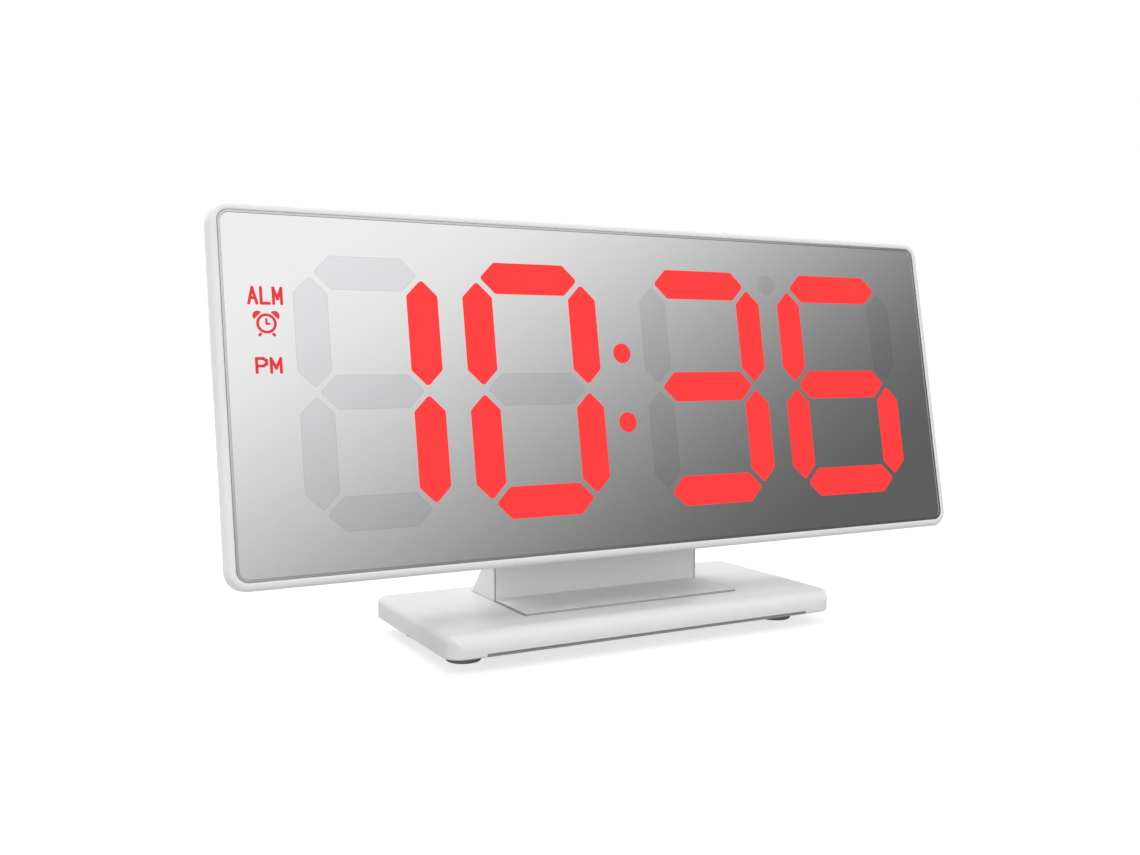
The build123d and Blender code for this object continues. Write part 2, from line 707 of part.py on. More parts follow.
# Base shell: rolled front, hollow underneath with a pad for the neck, low gap for the plate's front lip
foot_at = [(x, y) for x in (-foot_x, foot_x) for y in (foot_front, foot_back)]
hollow_front = -base_d / 2 + base_front_wall
hollow_back = base_d / 2 - base_wall
hollow_y = (hollow_front + hollow_back) / 2
hollow_d = hollow_back - hollow_front
lip_half = base_w / 2 - lip_in_x
lip_front = -base_d / 2 + lip_back
lip_end = hollow_front + 2 * plate_clear
with BuildPart() as base_shell:
    with BuildSketch(Plane.XY.offset(foot_h)) as plan:
        Rectangle(base_w, base_d)
        fillet(plan.vertices().group_by(Axis.Y)[0], base_front_corner)
        fillet(plan.vertices().group_by(Axis.Y)[-1], base_back_corner)
    extrude(amount=base_t)
    fillet(base_shell.faces().sort_by(Axis.Z)[-1].edges(), base_edge_round)
    with BuildSketch(Plane.YZ):
        with BuildLine():
            front = -base_d / 2
            back = base_d / 2
            roll = base_front_round
            Line((back, foot_h), (front, foot_h))
            Line((front, foot_h), (front, base_top - roll))
            RadiusArc((front, base_top - roll), (front + roll, base_top), roll)
            Line((front + roll, base_top), (back, base_top))
            Line((back, base_top), (back, foot_h))
        make_face()
    extrude(amount=base_w / 2, both=True, mode=Mode.INTERSECT)
    fillet(base_shell.faces().sort_by(Axis.Z)[0].edges(), base_under_round)
    with BuildSketch(Plane.XY.offset(foot_h)) as hollow:
        with Locations((0, hollow_y)):
            Rectangle(base_w - 2 * base_wall, hollow_d)
        fillet(hollow.vertices().group_by(Axis.Y)[0], base_front_corner - base_wall)
        fillet(hollow.vertices().group_by(Axis.Y)[-1], base_back_corner - base_wall)
    extrude(amount=base_t - base_skin, mode=Mode.SUBTRACT)
    with BuildSketch(Plane.XY.offset(foot_h)):
        with Locations((0, -base_d / 2)):
            Rectangle(2 * (lip_half + plate_clear), 2 * (base_front_wall + plate_clear))
    extrude(amount=lip_t + plate_clear, mode=Mode.SUBTRACT)
    with BuildSketch(Plane.XY.offset(plate_top)):
        with Locations((0, (pad_front + pad_back) / 2)):
            Rectangle(pad_w, pad_back - pad_front)
        with Locations(*foot_at):
            Circle(foot_r)
    extrude(amount=base_t - base_skin - plate_t + 0.2)
    with BuildSketch(Plane.XY.offset(pocket_floor)):
        with Locations((0, (pocket_front + pocket_back) / 2)):
            Rectangle(neck_w + 2 * trim_clear, pocket_back - pocket_front)
    extrude(amount=base_t, mode=Mode.SUBTRACT)
    with BuildSketch(Plane.XY.offset(plate_top)):
        with Locations((-neck_screw_x, neck_screw_y), (neck_screw_x, neck_screw_y)):
            Circle(neck_screw_r + screw_clear)
    extrude(amount=base_t, mode=Mode.SUBTRACT)
    with BuildSketch(Plane.XY.offset(plate_top)):
        with Locations((-neck_screw_x, neck_screw_y), (neck_screw_x, neck_screw_y)):
            Circle(neck_head_r + screw_clear)
    extrude(amount=neck_head_h, mode=Mode.SUBTRACT)
    with BuildSketch(Plane.XY.offset(plate_top)):
        with Locations(*foot_at):
            Circle(base_screw_r + screw_clear)
    extrude(amount=base_t - base_skin - plate_t - 0.2, mode=Mode.SUBTRACT)
base_shell.part.label = "base_shell"
export_step(base_shell.part, "parts/base_shell.step")

# Cover plate under the base with its front lip, its screws and the rubber feet over them
with BuildPart() as base_plate:
    with BuildSketch(Plane.XY.offset(foot_h)) as plate:
        with Locations((0, hollow_y)):
            plate_w = base_w - 2 * base_wall - 2 * plate_clear
            Rectangle(plate_w, hollow_d - 2 * plate_clear)
        fillet(plate.vertices().group_by(Axis.Y)[0], base_front_corner - base_wall - plate_clear)
        fillet(plate.vertices().group_by(Axis.Y)[-1], base_back_corner - base_wall - plate_clear)
    extrude(amount=plate_t)
    with BuildSketch(Plane.XY.offset(foot_h)):
        with Locations((0, (lip_front + lip_end) / 2)):
            Rectangle(2 * lip_half, lip_end - lip_front)
    extrude(amount=lip_t)
    with BuildSketch(Plane.XY.offset(foot_h)):
        with Locations(*foot_at):
            Circle(base_screw_r + screw_clear)
    extrude(amount=plate_t, mode=Mode.SUBTRACT)
    with BuildSketch(Plane.XY.offset(foot_h)):
        with Locations(*foot_at):
            Circle(base_head_r + screw_clear)
    extrude(amount=base_head_h, mode=Mode.SUBTRACT)
base_plate.part.label = "base_plate"
export_step(base_plate.part, "parts/base_plate.step")

with BuildPart() as base_screws:
    with BuildSketch(Plane.XY.offset(foot_h)):
        with Locations(*foot_at):
            Circle(base_head_r)
    extrude(amount=base_head_h)
    with BuildSketch(Plane.XY.offset(foot_h + base_head_h)):
        with Locations(*foot_at):
            Circle(base_screw_r)
    extrude(amount=base_t - base_skin - base_head_h - 0.4)
base_screws.part.label = "base_screws"
export_step(base_screws.part, "parts/base_screws.step")

with BuildPart() as rubber_feet:
    with BuildSketch():
        with Locations(*foot_at):
            Circle(foot_r)
    extrude(amount=foot_h)
    fillet(rubber_feet.edges().filter_by(GeomType.CIRCLE).group_by(Axis.Z)[0], foot_round)
rubber_feet.part.label = "rubber_feet"
export_step(rubber_feet.part, "parts/rubber_feet.step")

# Neck: flat front, slanted back, two hinge cheeks with a slot between them
with BuildPart() as neck:
    with BuildSketch(Plane.YZ):
        with BuildLine():
            top_back = hinge_y + hinge_r
            Polyline(
                (neck_front, hinge_z),
                (neck_front, pocket_floor),
                (neck_back, pocket_floor),
                (neck_back, base_top),
                (top_back, slope_top),
                (top_back, hinge_z),
            )
            ThreePointArc((top_back, hinge_z), (hinge_y, hinge_z + hinge_r), (neck_front, hinge_z))
        make_face()
    extrude(amount=neck_w / 2, both=True)
    with BuildSketch(Plane.XZ.offset(-neck_front)):
        with Locations((0, (pocket_floor + trim_top) / 2)):
            Rectangle(neck_w - 2 * neck_cheek, trim_top - pocket_floor)
    extrude(amount=-trim_t, mode=Mode.SUBTRACT)
    with BuildSketch(Plane.XY.offset(hinge_z - slot_room)):
        with Locations((0, hinge_y)):
            Rectangle(2 * slot_half, 4 * hinge_r)
    extrude(amount=slot_room + 2 * hinge_r, mode=Mode.SUBTRACT)
    with BuildSketch(Plane.YZ):
        with Locations((hinge_y, hinge_z)):
            Circle(pin_r + pin_fit)
    extrude(amount=neck_w, both=True, mode=Mode.SUBTRACT)
    with BuildSketch(Plane.XY.offset(pocket_floor)):
        with Locations((-neck_screw_x, neck_screw_y), (neck_screw_x, neck_screw_y)):
            Circle(neck_screw_r + screw_clear)
    extrude(amount=neck_screw_up, mode=Mode.SUBTRACT)
neck.part.label = "neck"
export_step(neck.part, "parts/neck.step")

# Grey trim: one leg on the neck front, one wider leg lying in the base pocket
trim_half = neck_w / 2 - neck_cheek - trim_side
with BuildPart() as neck_trim:
    with BuildSketch(Plane.XZ.offset(-neck_front)):
        with Locations((0, (pocket_floor + trim_top - trim_clear) / 2)):
            Rectangle(2 * trim_half, trim_top - trim_clear - pocket_floor)
    extrude(amount=-trim_t)
    with BuildSketch(Plane.XY.offset(pocket_floor)):
        with Locations((0, (pocket_front + trim_clear + neck_front) / 2)):
            Rectangle(neck_w, neck_front - pocket_front - trim_clear)
    extrude(amount=trim_t)
neck_trim.part.label = "neck_trim"
export_step(neck_trim.part, "parts/neck_trim.step")

# Screws up into the neck, hinge pin and friction washers
with BuildPart() as neck_screws:
    with BuildSketch(Plane.XY.offset(plate_top)):
        with Locations((-neck_screw_x, neck_screw_y), (neck_screw_x, neck_screw_y)):
            Circle(neck_head_r)
    extrude(amount=neck_head_h)
    with BuildSketch(Plane.XY.offset(plate_top + neck_head_h)):
        with Locations((-neck_screw_x, neck_screw_y), (neck_screw_x, neck_screw_y)):
            Circle(neck_screw_r)
    extrude(amount=pocket_floor + neck_screw_up - plate_top - neck_head_h - 0.4)
neck_screws.part.label = "neck_screws"
export_step(neck_screws.part, "parts/neck_screws.step")

with BuildPart() as hinge_pin:
    with BuildSketch(Plane.YZ):
        with Locations((hinge_y, hinge_z)):
            Circle(pin_r)
    extrude(amount=pin_half, both=True)
hinge_pin.part.label = "hinge_pin"
export_step(hinge_pin.part, "parts/hinge_pin.step")

with BuildPart() as friction_washers:
    for side in (-1, 1):
        with BuildSketch(Plane.YZ.offset(side * slot_half)):
            with Locations((hinge_y, hinge_z)):
                Circle(hinge_r - 0.3)
                Circle(pin_r + pin_fit, mode=Mode.SUBTRACT)
        extrude(amount=-side * washer_t)
friction_washers.part.label = "friction_washers"
export_step(friction_washers.part, "parts/friction_washers.step")
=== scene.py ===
import json
from math import cos, radians, sin

import bmesh
import bpy
from bpy.props import FloatProperty, FloatVectorProperty, PointerProperty
from bpy.types import Operator, Panel, PropertyGroup
from mathutils import Matrix, Vector

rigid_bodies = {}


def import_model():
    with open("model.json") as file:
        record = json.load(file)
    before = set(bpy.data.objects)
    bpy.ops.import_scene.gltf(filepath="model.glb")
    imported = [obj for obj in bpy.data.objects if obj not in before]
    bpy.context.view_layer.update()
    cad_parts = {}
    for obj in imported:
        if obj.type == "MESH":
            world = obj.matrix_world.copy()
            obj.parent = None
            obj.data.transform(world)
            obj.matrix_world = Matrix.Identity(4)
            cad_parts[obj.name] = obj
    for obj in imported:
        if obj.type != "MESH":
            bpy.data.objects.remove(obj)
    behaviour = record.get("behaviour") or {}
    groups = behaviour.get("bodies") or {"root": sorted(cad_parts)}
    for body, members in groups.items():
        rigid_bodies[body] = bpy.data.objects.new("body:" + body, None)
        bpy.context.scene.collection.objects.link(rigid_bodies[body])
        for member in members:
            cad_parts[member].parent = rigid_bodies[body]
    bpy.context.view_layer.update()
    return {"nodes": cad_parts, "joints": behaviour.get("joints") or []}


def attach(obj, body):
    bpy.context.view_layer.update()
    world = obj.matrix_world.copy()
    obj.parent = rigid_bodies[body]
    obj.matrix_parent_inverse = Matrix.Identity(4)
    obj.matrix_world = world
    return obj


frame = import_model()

bl_info = {
    "name": "Mirror Desk Clock",
    "version": (1, 0, 0),
    "blender": (4, 5, 0),
    "location": "View3D > Sidebar > Desk Clock",
    "description": "Finishes, lit signs and studio for a mirror-faced desk clock",
    "category": "Object",
}

MM = 0.001

# Most values of a noise lie between these two, so tones and gloss are spread over that span
NOISE_LOW = 0.3
NOISE_HIGH = 0.7

# Noise cells to the metre
FLOOR_CELLS = 3.0
DRIFT_CELLS = 45.0
GLOW_CELLS = 90.0
TINT_CELLS = 260.0
GLOSS_CELLS = 320.0
LENS_CELLS = 500.0
HAZE_CELLS = 900.0
FINE_DETAIL = 3.0

GRAIN_HEIGHT = 0.02 * MM
# Width of the band of painted shade along the trim's front edge and ends
EDGE_SHADE_BAND = 0.08 * MM
PICTURE_GAMMA = 2.2
WHITE = (1.0, 1.0, 1.0, 1.0)
STARTUP_OBJECTS = ("Cube", "Light", "Camera")

# The head leans back. Its own directions are right along X, up the face and out of the face.
FACE_OUT = Vector(next(j["axis"] for j in frame["joints"] if j["name"] == "mode_press"))
FACE_UP = Vector((0.0, FACE_OUT.z, -FACE_OUT.y))
FACE_RIGHT = Vector((1.0, 0.0, 0.0))
DEPTH = Vector((0.0, 1.0, 0.0))


def reach(node, way):
    """Lowest and highest place of a CAD node along a direction."""
    along = [v.co.dot(way) for v in frame["nodes"][node].data.vertices]
    return min(along), max(along)


def middle(node, way):
    """Halfway place of a CAD node along a direction."""
    return sum(reach(node, way)) / 2


def face_frame():
    """Matrix that carries a drawing on the mirror face into the clock's frame."""
    across = middle("mirror_panel", FACE_RIGHT)
    up = middle("mirror_panel", FACE_UP)
    out = reach("mirror_panel", FACE_OUT)[1]
    place = FACE_RIGHT * across + FACE_UP * up + FACE_OUT * out
    turn = Matrix((FACE_RIGHT, FACE_UP, FACE_OUT)).transposed()
    return Matrix.Translation(place) @ turn.to_4x4()


FACE = face_frame()


def colour(name, about, default):
    """A colour of a finish."""
    return FloatVectorProperty(
        name=name, description=about, subtype="COLOR", size=3, min=0.0, max=1.0, default=default
    )


def length(name, about, default):
    """A length in metres."""
    return FloatProperty(name=name, description=about, unit="LENGTH", default=default)


def spot(name, about, default):
    """A place in metres in the clock's frame."""
    return FloatVectorProperty(
        name=name, description=about, subtype="TRANSLATION", unit="LENGTH", size=3, default=default
    )


def angle(name, about, degrees):
    """An angle, given in degrees."""
    return FloatProperty(name=name, description=about, subtype="ANGLE", default=radians(degrees))


def power(name, about, default):
    """A lamp's power in watts."""
    return FloatProperty(name=name, description=about, unit="POWER", default=default)


def optics(name, about, default):
    """A camera's own length in millimetres."""
    return FloatProperty(name=name, description=about, subtype="DISTANCE_CAMERA", default=default)


def number(name, about, default):
    """A plain number."""
    return FloatProperty(name=name, description=about, default=default)


class ClockColours(PropertyGroup):
    """Colours of the clock's finishes."""

    shell: colour("Shell", "White of the frame, housing, neck and base", (0.83, 0.83, 0.83))
    cover: colour("Cover", "White of the cell cover", (0.76, 0.76, 0.76))
    # Partly painted shade: the bottom plate is a real grey part, and the darker grey of its front lip
    # stands in for the shadow under the base's front edge.
    plate_and_shade: colour("Plate", "Grey of the bottom plate and its front lip", (0.31, 0.31, 0.31))
    mirror: colour("Mirror", "Tint of the mirror coat", (0.95, 0.95, 0.952))
    seam: colour("Seam", "Bright seal round the mirror", (0.70, 0.70, 0.70))
    window: colour("Window", "Tint of the unlit windows", (0.848, 0.848, 0.866))
    lit: colour("Lit", "Light of the digits", (1.0, 0.043, 0.043))
    sign: colour("Sign", "Light of the small signs", (0.64, 0.038, 0.040))
    unlit: colour("Lens", "Plastic of the digits without light", (0.20, 0.008, 0.008))
    trim: colour("Trim", "Grey of the neck trim", (0.87, 0.87, 0.87))
    # Painted shade: darker tone laid on the trim's front edge and ends, standing in for the shadow lines
    # in the gaps round the trim.
    trim_edge_shade: colour("Trim edge", "Cut edges of the neck trim", (0.42, 0.42, 0.42))
    foot: colour("Foot", "Rubber of the feet", (0.31, 0.31, 0.31))
    button: colour("Button", "Grey of the push buttons", (0.50, 0.50, 0.51))
    mark: colour("Mark", "Raised marks on the buttons", (0.86, 0.86, 0.86))
    light_box: colour("Light box", "White of the light box", (0.85, 0.85, 0.83))
    board: colour("Board", "Solder mask of the circuit board", (0.02, 0.14, 0.05))
    diode: colour("Diode", "Light diodes", (0.85, 0.80, 0.55))
    black: colour("Black", "Black plastic of switches and chips", (0.02, 0.02, 0.02))
    can: colour("Can", "Sleeve of the capacitor", (0.03, 0.05, 0.20))
    steel: colour("Steel", "Plated steel", (0.62, 0.62, 0.63))
    brass: colour("Brass", "Spring contacts", (0.72, 0.54, 0.24))


class ClockSigns(PropertyGroup):
    """Places and sizes of the lit signs left of the digits."""

    across: length("Across", "Middle of the signs from the middle of the mirror", -87.5 * MM)
    alarm_up: length("Alarm word up", "Height of the alarm word above the middle", 20.4 * MM)
    alarm_wide: length("Alarm word wide", "Width of the alarm word", 7.4 * MM)
    alarm_high: length("Alarm word high", "Letter height of the alarm word", 3.9 * MM)
    bell_up: length("Clock sign up", "Height of the clock sign above the middle", 14.5 * MM)
    bell_size: length("Clock sign size", "Width of the clock sign", 5.3 * MM)
    day_up: length("Afternoon word up", "Height of the afternoon word", 5.7 * MM)
    day_wide: length("Afternoon word wide", "Width of the afternoon word", 5.6 * MM)
    day_high: length("Afternoon word high", "Letter height of the afternoon word", 3.5 * MM)
    proud: length("Proud", "How far the signs stand out of the mirror", 0.04 * MM)
    deep: length("Deep", "How far the signs reach into the mirror", 0.10 * MM)
    stroke: length("Stroke", "Line width of the letters", 0.62 * MM)


class ClockSeam(PropertyGroup):
    """Seal in the gap between the mirror and its frame."""

    wide: length("Wide", "Width of the seal", 0.50 * MM)
    clear: length("Clear", "Gap from the mirror's edge to the seal", 0.05 * MM)
    proud: length("Proud", "How far the seal stands over the mirror face", 0.12 * MM)
    deep: length("Deep", "Depth of the seal", 0.80 * MM)
    corner: length("Corner", "Radius of the seal's outer corners", 2.45 * MM)


class ClockMarks(PropertyGroup):
    """Raised marks on the rear buttons."""

    size: length("Size", "Width of a mark", 3.4 * MM)
    clock_size: length("Clock size", "Width of the alarm clock mark", 3.91 * MM)
    stroke: length("Stroke", "Width of a line of a mark", 0.6 * MM)
    proud: length("Proud", "Height of a mark over its button", 0.08 * MM)
    deep: length("Deep", "How far a mark reaches into its button", 0.12 * MM)


class ClockStage(PropertyGroup):
    """Floor, light, reflector card and camera."""

    floor_size: length("Floor", "Side of the square floor", 8.0)
    floor_tone: number("Floor tone", "Grey level of the floor", 0.45)
    floor_drift: number("Floor drift", "How much darker the floor gets in places", 0.005)
    floor_rough: number("Floor rough", "Roughness of the floor", 0.9)
    floor_lift: number("Floor lift", "Added white of the floor in the picture", 0.72)
    floor_gloss: number("Floor gloss", "Share of the added white that reflections show", 0.65)
    ambient: number("Ambient", "Strength of the even light from all round", 0.72)
    back_spot: spot("Back lamp", "Place of the large lamp above and behind", (-0.4, 0.6, 1.2))
    back_aim: spot("Back aim", "Where the back lamp points", (0.0, 0.0, 0.03))
    back_size: length("Back lamp size", "Side of the back lamp", 0.8)
    back_power: power("Back lamp power", "Power of the back lamp", 7.4)
    front_spot: spot("Front lamp", "Place of the lamp above and in front", (-0.3, -0.7, 1.1))
    front_aim: spot("Front aim", "Where the front lamp points", (0.0, 0.0, 0.05))
    front_size: length("Front lamp size", "Side of the front lamp", 0.8)
    front_power: power("Front lamp power", "Power of the front lamp", 3.9)
    low_spot: spot("Low lamp", "Place of the weak lamp low in front", (-0.3, -1.2, 0.3))
    low_aim: spot("Low aim", "Where the low lamp points", (0.0, 0.0, 0.03))
    low_size: length("Low lamp size", "Side of the low lamp", 0.5)
    low_power: power("Low lamp power", "Power of the low lamp", 2.2)
    card_wide: length("Card wide", "Width of the reflector card", 6.0)
    card_high: length("Card high", "Height of the reflector card", 0.9)
    card_far: length("Card", "Distance of the reflector card from the mirror", 0.6)
    card_light: number("Card light", "Picture level at the light end of the card", 0.957)
    card_dark: number("Card dark", "Picture level at the dark end of the card", 0.380)
    card_from: length("Card from", "Where the mirror starts to darken", -68.0 * MM)
    card_to: length("Card to", "Where the mirror is darkest", 65.0 * MM)
    card_tilt: angle("Card tilt", "Turn of the shading on the mirror", 60.0)
    eye_right: length("Eye right", "Camera to the right of the mirror's middle", -143.36 * MM)
    eye_back: length("Eye back", "Camera behind the mirror's middle", -234.70 * MM)
    eye_up: length("Eye up", "Camera above the mirror's middle", 7.69 * MM)
    eye_turn: angle("Eye turn", "Heading of the camera, from straight back to the right", 28.187)
    eye_dip: angle("Eye dip", "How far the camera looks down", 3.646)
    eye_near: length("Eye near", "Nearest distance that the camera shows", 0.01)
    lens: optics("Lens", "Focal length", 35.783)
    sensor: optics("Sensor", "Width of the camera's sensor", 36.0)


class ClockSettings(PropertyGroup):
    """All values of the clock."""

    colours: PointerProperty(type=ClockColours)
    signs: PointerProperty(type=ClockSigns)
    seam: PointerProperty(type=ClockSeam)
    marks: PointerProperty(type=ClockMarks)
    stage: PointerProperty(type=ClockStage)


def settings():
    """The clock's values on the current scene."""
    return bpy.context.scene.desk_clock


def new_finish(name):
    """An empty material with its shader and its node and link makers."""
    material = bpy.data.materials.new(name)
    material.use_nodes = True
    nodes = material.node_tree.nodes
    links = material.node_tree.links
    nodes.clear()
    out = nodes.new("ShaderNodeOutputMaterial")
    shader = nodes.new("ShaderNodeBsdfPrincipled")
    links.new(shader.outputs["BSDF"], out.inputs["Surface"])
    return material, nodes, links, shader


def noise(nodes, links, cells, detail=2.0):
    """A noise in the clock's own frame, with so many cells to the metre."""
    place = nodes.new("ShaderNodeTexCoord")
    spots = nodes.new("ShaderNodeTexNoise")
    spots.inputs["Scale"].default_value = cells
    spots.inputs["Detail"].default_value = detail
    links.new(place.outputs["Object"], spots.inputs["Vector"])
    return spots.outputs["Fac"]


def spread(nodes, links, factor, low, high):
    """Carries a noise into a range of values."""
    span = nodes.new("ShaderNodeMapRange")
    span.inputs["From Min"].default_value = NOISE_LOW
    span.inputs["From Max"].default_value = NOISE_HIGH
    span.inputs["To Min"].default_value = low
    span.inputs["To Max"].default_value = high
    links.new(factor, span.inputs["Value"])
    return span.outputs["Result"]


def vary_colour(nodes, links, shader, tone, factor, change):
    """Lets the colour drift a little darker where the noise is low."""
    ramp = nodes.new("ShaderNodeValToRGB")
    ramp.color_ramp.elements[0].position = NOISE_LOW
    ramp.color_ramp.elements[1].position = NOISE_HIGH
    ramp.color_ramp.elements[0].color = [c * (1 - change) for c in tone] + [1.0]
    ramp.color_ramp.elements[1].color = list(tone) + [1.0]
    links.new(factor, ramp.inputs["Fac"])
    links.new(ramp.outputs["Color"], shader.inputs["Base Color"])


def add_bump(nodes, links, shader, factor, strength):
    """Roughens the surface with a noise."""
    bump = nodes.new("ShaderNodeBump")
    bump.inputs["Strength"].default_value = strength
    bump.inputs["Distance"].default_value = GRAIN_HEIGHT
    links.new(factor, bump.inputs["Height"])
    links.new(bump.outputs["Normal"], shader.inputs["Normal"])


def vary_rough(nodes, links, shader, factor, low, high):
    """Lets the gloss come and go between two roughnesses."""
    links.new(spread(nodes, links, factor, low, high), shader.inputs["Roughness"])


def moulded(name, tone, rough, grain, bump, drift=0.02, gloss=0.5, smoothest=0.9, dullest=1.1):
    """Moulded plastic with a fine grain, a slow drift of tone and uneven gloss."""
    material, nodes, links, shader = new_finish(name)
    vary_colour(nodes, links, shader, tone, noise(nodes, links, DRIFT_CELLS, FINE_DETAIL), drift)
    patches = noise(nodes, links, GLOSS_CELLS)
    vary_rough(nodes, links, shader, patches, rough * smoothest, rough * dullest)
    add_bump(nodes, links, shader, noise(nodes, links, grain, FINE_DETAIL), bump)
    shader.inputs["Specular IOR Level"].default_value = gloss
    return material


def edge_shade_mask(nodes, links, node):
    """Mask of painted shade: one on the front edge and the two ends of a CAD node, nought elsewhere."""
    place = nodes.new("ShaderNodeTexCoord")
    axes = nodes.new("ShaderNodeSeparateXYZ")
    aside = nodes.new("ShaderNodeMath")
    ends = nodes.new("ShaderNodeMath")
    front = nodes.new("ShaderNodeMath")
    either = nodes.new("ShaderNodeMath")
    aside.operation = "ABSOLUTE"
    ends.operation = "GREATER_THAN"
    front.operation = "LESS_THAN"
    either.operation = "MAXIMUM"
    ends.inputs[1].default_value = reach(node, FACE_RIGHT)[1] - EDGE_SHADE_BAND
    front.inputs[1].default_value = reach(node, DEPTH)[0] + EDGE_SHADE_BAND
    links.new(place.outputs["Object"], axes.inputs["Vector"])
    links.new(axes.outputs["X"], aside.inputs[0])
    links.new(aside.outputs["Value"], ends.inputs[0])
    links.new(axes.outputs["Y"], front.inputs[0])
    links.new(ends.outputs["Value"], either.inputs[0])
    links.new(front.outputs["Value"], either.inputs[1])
    return either.outputs["Value"]


def satin_sheet_edge_shade(name, tone, edge_shade_tone, node, rough, uneven, drift):
    """Satin sheet with a slow drift of tone, uneven gloss and painted shade on its front edge and both
    ends.
    """
    material, nodes, links, shader = new_finish(name)
    vary_colour(nodes, links, shader, tone, noise(nodes, links, DRIFT_CELLS, FINE_DETAIL), drift)
    face = shader.inputs["Base Color"].links[0].from_socket
    blend = nodes.new("ShaderNodeMixRGB")
    blend.inputs["Color2"].default_value = list(edge_shade_tone) + [1.0]
    # Painted shade: the front edge and both ends are mixed towards the darker edge tone, standing in for
    # the shadow lines in the gaps round the trim.
    links.new(edge_shade_mask(nodes, links, node), blend.inputs["Fac"])
    links.new(face, blend.inputs["Color1"])
    links.new(blend.outputs["Color"], shader.inputs["Base Color"])
    vary_rough(nodes, links, shader, noise(nodes, links, GLOSS_CELLS), rough - uneven, rough + uneven)
    return material


def polished_metal(name, tone, rough, drift, smoothest=0.8, dullest=1.25):
    """Bright metal with fine uneven polish."""
    material, nodes, links, shader = new_finish(name)
    shader.inputs["Metallic"].default_value = 1.0
    vary_colour(nodes, links, shader, tone, noise(nodes, links, TINT_CELLS, FINE_DETAIL), drift)
    haze = noise(nodes, links, HAZE_CELLS, FINE_DETAIL)
    vary_rough(nodes, links, shader, haze, rough * smoothest, rough * dullest)
    return material


def glowing(name, light, plastic, rough=0.35, gloss=0.15, drift=0.2, dimmest=0.93):
    """Red lens lit from behind, a touch uneven over its wells."""
    material, nodes, links, shader = new_finish(name)
    vary_colour(nodes, links, shader, plastic, noise(nodes, links, LENS_CELLS), drift)
    shader.inputs["Roughness"].default_value = rough
    shader.inputs["Specular IOR Level"].default_value = gloss
    shader.inputs["Emission Color"].default_value = list(light) + [1.0]
    glow = noise(nodes, links, GLOW_CELLS)
    links.new(spread(nodes, links, glow, dimmest, 1.0), shader.inputs["Emission Strength"])
    return material


def dress(material, *names):
    """Puts a finish on CAD nodes."""
    for name in names:
        node = frame["nodes"][name]
        if not node.material_slots:
            node.data.materials.append(material)
        for slot in node.material_slots:
            slot.material = material


def deselect():
    """Leaves edit mode and selects nothing."""
    if bpy.context.object and bpy.context.object.mode != "OBJECT":
        bpy.ops.object.mode_set(mode="OBJECT")
    bpy.ops.object.select_all(action="DESELECT")


def only(obj):
    """Selects one object alone."""
    deselect()
    obj.select_set(True)
    bpy.context.view_layer.objects.active = obj


def thicken(obj, thickness):
    """Gives a flat drawing its thickness, downwards from its own plane."""
    only(obj)
    wall = obj.modifiers.new("thickness", "SOLIDIFY")
    wall.thickness = thickness
    wall.offset = -1.0
    bpy.ops.object.modifier_apply(modifier=wall.name)


def settle(obj, where):
    """Carries a flat drawing to its place and leaves the place in its mesh."""
    only(obj)
    obj.matrix_world = where
    bpy.ops.object.transform_apply(location=True, rotation=True, scale=True)


def finish_piece(obj, material, body):
    """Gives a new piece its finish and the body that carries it."""
    obj.data.materials.clear()
    obj.data.materials.append(material)
    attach(obj, body)


def join(name, parts):
    """Joins drawings into one object."""
    only(parts[0])
    for part in parts[1:]:
        part.select_set(True)
    if len(parts) > 1:
        bpy.ops.object.join()
    parts[0].name = name
    return parts[0]


def flat_disc(radius, middle_at=(0.0, 0.0), sides=24):
    """A flat disc."""
    deselect()
    bpy.ops.mesh.primitive_circle_add(
        vertices=sides, radius=radius, fill_type="NGON", location=(*middle_at, 0.0)
    )
    return bpy.context.object


def open_middle(flat, width):
    """Leaves the rim of a flat shape. The rim has four-cornered faces, the middle more corners."""
    bpy.ops.object.mode_set(mode="EDIT")
    bpy.ops.mesh.select_mode(type="FACE")
    bpy.ops.mesh.select_all(action="SELECT")
    bpy.ops.mesh.inset(thickness=width)
    mesh = bmesh.from_edit_mesh(flat.data)
    for face in mesh.faces:
        face.select_set(len(face.verts) > 4)
    bmesh.update_edit_mesh(flat.data)
    bpy.ops.mesh.delete(type="FACE")
    bpy.ops.object.mode_set(mode="OBJECT")


def flat_ring(outer, width):
    """A flat ring round the origin."""
    ring = flat_disc(outer, sides=48)
    open_middle(ring, width)
    return ring


def flat_hoop(name, wide, high, corner, width, corner_steps=10):
    """A flat rectangular hoop with round corners."""
    deselect()
    bpy.ops.mesh.primitive_plane_add(size=1.0)
    hoop = bpy.context.object
    hoop.name = name
    hoop.scale = (wide, high, 1.0)
    bpy.ops.object.transform_apply(location=False, rotation=False, scale=True)
    bpy.ops.object.mode_set(mode="EDIT")
    bpy.ops.mesh.select_mode(type="VERT")
    bpy.ops.mesh.select_all(action="SELECT")
    bpy.ops.mesh.bevel(offset=corner, segments=corner_steps, affect="VERTICES")
    open_middle(hoop, width)
    return hoop


def flat_bar(wide, high, middle_at=(0.0, 0.0), turn=0.0, round_share=0.35, round_steps=4):
    """A flat bar with rounded ends."""
    deselect()
    bpy.ops.mesh.primitive_plane_add(size=1.0, location=(*middle_at, 0.0))
    bar = bpy.context.object
    bar.scale = (wide, high, 1.0)
    bar.rotation_euler.z = turn
    bpy.ops.object.transform_apply(location=False, rotation=False, scale=True)
    bpy.ops.object.mode_set(mode="EDIT")
    bpy.ops.mesh.select_all(action="SELECT")
    bpy.ops.mesh.bevel(offset=min(wide, high) * round_share, segments=round_steps, affect="VERTICES")
    bpy.ops.object.mode_set(mode="OBJECT")
    return bar


